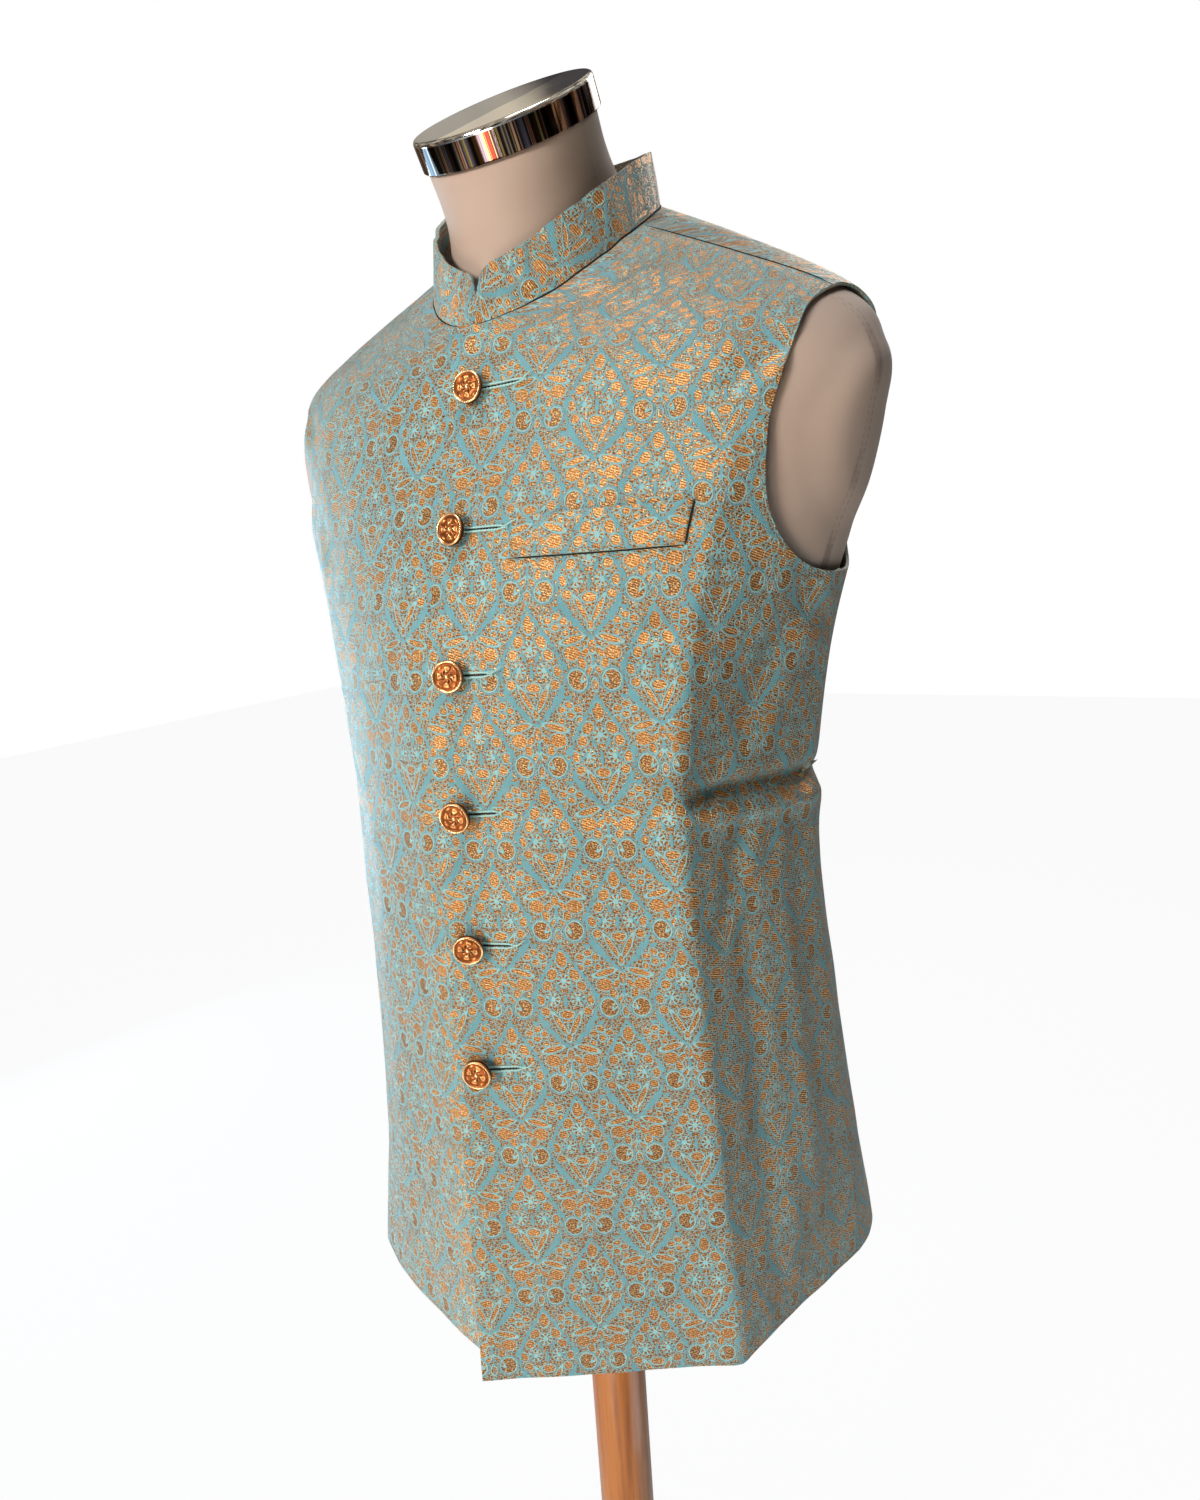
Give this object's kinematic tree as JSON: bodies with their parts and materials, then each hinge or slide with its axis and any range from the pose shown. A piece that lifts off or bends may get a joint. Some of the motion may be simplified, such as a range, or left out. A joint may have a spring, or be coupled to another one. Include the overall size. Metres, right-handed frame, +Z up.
{
  "type": "nehru jacket on dress form",
  "caption": "Sleeveless brocade nehru jacket with band collar and welt pocket, buttoned on a limbless dress form with pole and round base.",
  "frame": {"origin": "centre of the base's underside, on the pole's axis", "axes": "+Z up along the pole, -Y out of the jacket's front, +X to the wearer's left"},
  "size_m": [0.456, 0.384, 1.5422],
  "materials": {
    "brocade": "turquoise and copper-gold woven brocade, soft sheen",
    "button_metal": "antique copper-gold, cast relief",
    "form_linen": "matt linen cover",
    "cap_chrome": "polished",
    "stand_wood": "varnished"
  },
  "bodies": {
    "root": {"front_left": "brocade", "front_right": "brocade", "back": "brocade", "collar": "brocade", "pocket_welt": "brocade", "button_1": "button_metal", "button_2": "button_metal", "button_3": "button_metal", "button_4": "button_metal", "button_5": "button_metal", "button_6": "button_metal", "form_body": "form_linen", "neck_cap": "cap_chrome", "pole": "stand_wood", "base": "stand_wood"}
  },
  "joints": []
}
